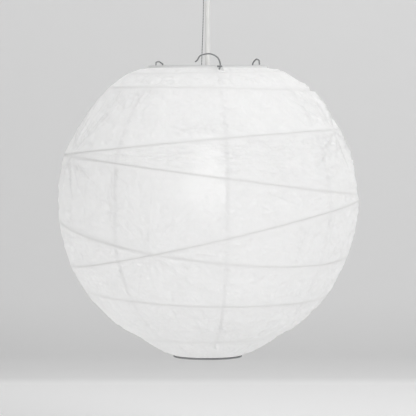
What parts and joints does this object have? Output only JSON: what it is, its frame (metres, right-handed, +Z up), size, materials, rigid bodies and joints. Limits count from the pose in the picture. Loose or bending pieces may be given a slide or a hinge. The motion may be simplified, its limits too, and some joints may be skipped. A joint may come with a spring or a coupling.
{
  "type": "paper lantern",
  "caption": "Round white crinkled rice-paper lantern over flat wire hoops, held open by a steel frame with hooks, hung on a flex with a bulb inside.",
  "frame": {"origin": "centre of the ceiling rose's top face, on the ceiling", "axes": "+Z up out of the ceiling, +X to the right, front of the lantern towards -Y"},
  "size_m": [0.4496, 0.4496, 0.6062],
  "materials": {
    "rice_paper": "crinkled white rice paper, matt, lets light through",
    "rib_wire": "thin steel wire, white lacquer, seen through the paper",
    "ring_wire": "drawn galvanised steel wire, dull grey",
    "frame_wire": "drawn galvanised steel wire, dull grey",
    "holder_ring_steel": "stamped zinc-plated sheet steel",
    "flex_pvc": "soft white PVC sheath, slight sheen",
    "support_cable": "fine steel wire rope",
    "crimp_metal": "pressed aluminium ferrule",
    "white_plastic": "white moulded thermoplastic, low gloss",
    "base_plastic": "off-white moulded thermoplastic",
    "zinc_steel": "zinc-plated pressed steel",
    "swivel_metal": "turned nickel-plated steel, satin",
    "terminal_plastic": "ivory terminal plastic",
    "terminal_brass": "turned brass, bright",
    "ceramic_insert": "unglazed white steatite",
    "contact_brass": "pressed brass, nickel sheen",
    "bulb_cap_metal": "rolled aluminium screw cap",
    "bulb_insulator": "black vitrite glass",
    "bulb_tip_metal": "dull solder",
    "opal_glass": "opal white glass, lit from inside"
  },
  "bodies": {
    "root": {"rose_base": "base_plastic", "swivel_bracket": "zinc_steel", "bracket_screws": "zinc_steel", "terminal_block": "terminal_plastic", "terminal_screws": "terminal_brass"},
    "cover": {"rose_cover": "white_plastic"},
    "collar": {"swivel_collar": "swivel_metal"},
    "tilt_ring": {"swivel_tilt_ring": "swivel_metal"},
    "pendant": {"swivel_ball": "swivel_metal", "flex": "flex_pvc", "support_wire": "support_cable", "wire_crimps": "crimp_metal", "holder_cap": "white_plastic", "flex_clamp": "base_plastic", "holder_body": "white_plastic", "holder_insert": "ceramic_insert", "holder_screw_shell": "contact_brass", "holder_contact": "contact_brass"},
    "bulb_end": {"bulb_tip": "bulb_tip_metal", "bulb_insulator": "bulb_insulator"},
    "bulb": {"bulb_cap": "bulb_cap_metal", "bulb_glass": "opal_glass"},
    "nut": {"shade_nut": "white_plastic"},
    "shade": {"frame_holder_ring": "holder_ring_steel", "frame_foot_ring": "frame_wire", "frame_arm_1": "frame_wire", "frame_arm_2": "frame_wire", "frame_arm_3": "frame_wire", "frame_leg_1": "frame_wire", "frame_leg_2": "frame_wire", "frame_leg_3": "frame_wire", "shade_top_ring": "ring_wire", "shade_bottom_ring": "ring_wire", "rib_1": "rib_wire", "rib_2": "rib_wire", "rib_3": "rib_wire", "rib_4": "rib_wire", "rib_5": "rib_wire", "rib_6": "rib_wire", "rib_7": "rib_wire", "rib_8": "rib_wire", "paper_strip_1": "rice_paper", "paper_strip_2": "rice_paper", "paper_strip_3": "rice_paper", "paper_strip_4": "rice_paper", "paper_strip_5": "rice_paper", "paper_strip_6": "rice_paper", "paper_strip_7": "rice_paper", "paper_strip_8": "rice_paper"}
  },
  "joints": [
    {"name": "cover_turn", "type": "hinge", "parent": "root", "child": "cover", "pos_m": [0, 0, -0.03], "axis": [0, 0, 1], "range_deg": [0, 30]},
    {"name": "pendant_twist", "type": "hinge", "parent": "root", "child": "collar", "pos_m": [0, 0, -0.046], "axis": [0, 0, 1], "range_deg": [-180, 180]},
    {"name": "sway_front_back", "type": "hinge", "parent": "collar", "child": "tilt_ring", "pos_m": [0, 0, -0.046], "axis": [1, 0, 0], "range_deg": [-15, 15]},
    {"name": "sway_side", "type": "hinge", "parent": "tilt_ring", "child": "pendant", "pos_m": [0, 0, -0.046], "axis": [0, 1, 0], "range_deg": [-15, 15]},
    {"name": "bulb_travel", "type": "slide", "parent": "pendant", "child": "bulb_end", "axis": [0, 0, -1], "range_m": [0, 0.0216]},
    {"name": "bulb_turn", "type": "hinge", "parent": "bulb_end", "child": "bulb", "pos_m": [0, 0, -0.3], "axis": [0, 0, -1], "range_deg": [-5, 2165]},
    {"name": "shade_travel", "type": "slide", "parent": "pendant", "child": "shade", "axis": [0, 0, -1], "range_m": [0, 0.0075]},
    {"name": "shade_nut_turn", "type": "hinge", "parent": "shade", "child": "nut", "pos_m": [0, 0, -0.275], "axis": [0, 0, -1], "range_deg": [-5, 1085]}
  ],
  "couplings": [
    {"joint": "bulb_turn", "follows": "bulb_travel", "rad_per_m": 1745.3},
    {"joint": "shade_nut_turn", "follows": "shade_travel", "rad_per_m": 2513.3}
  ]
}
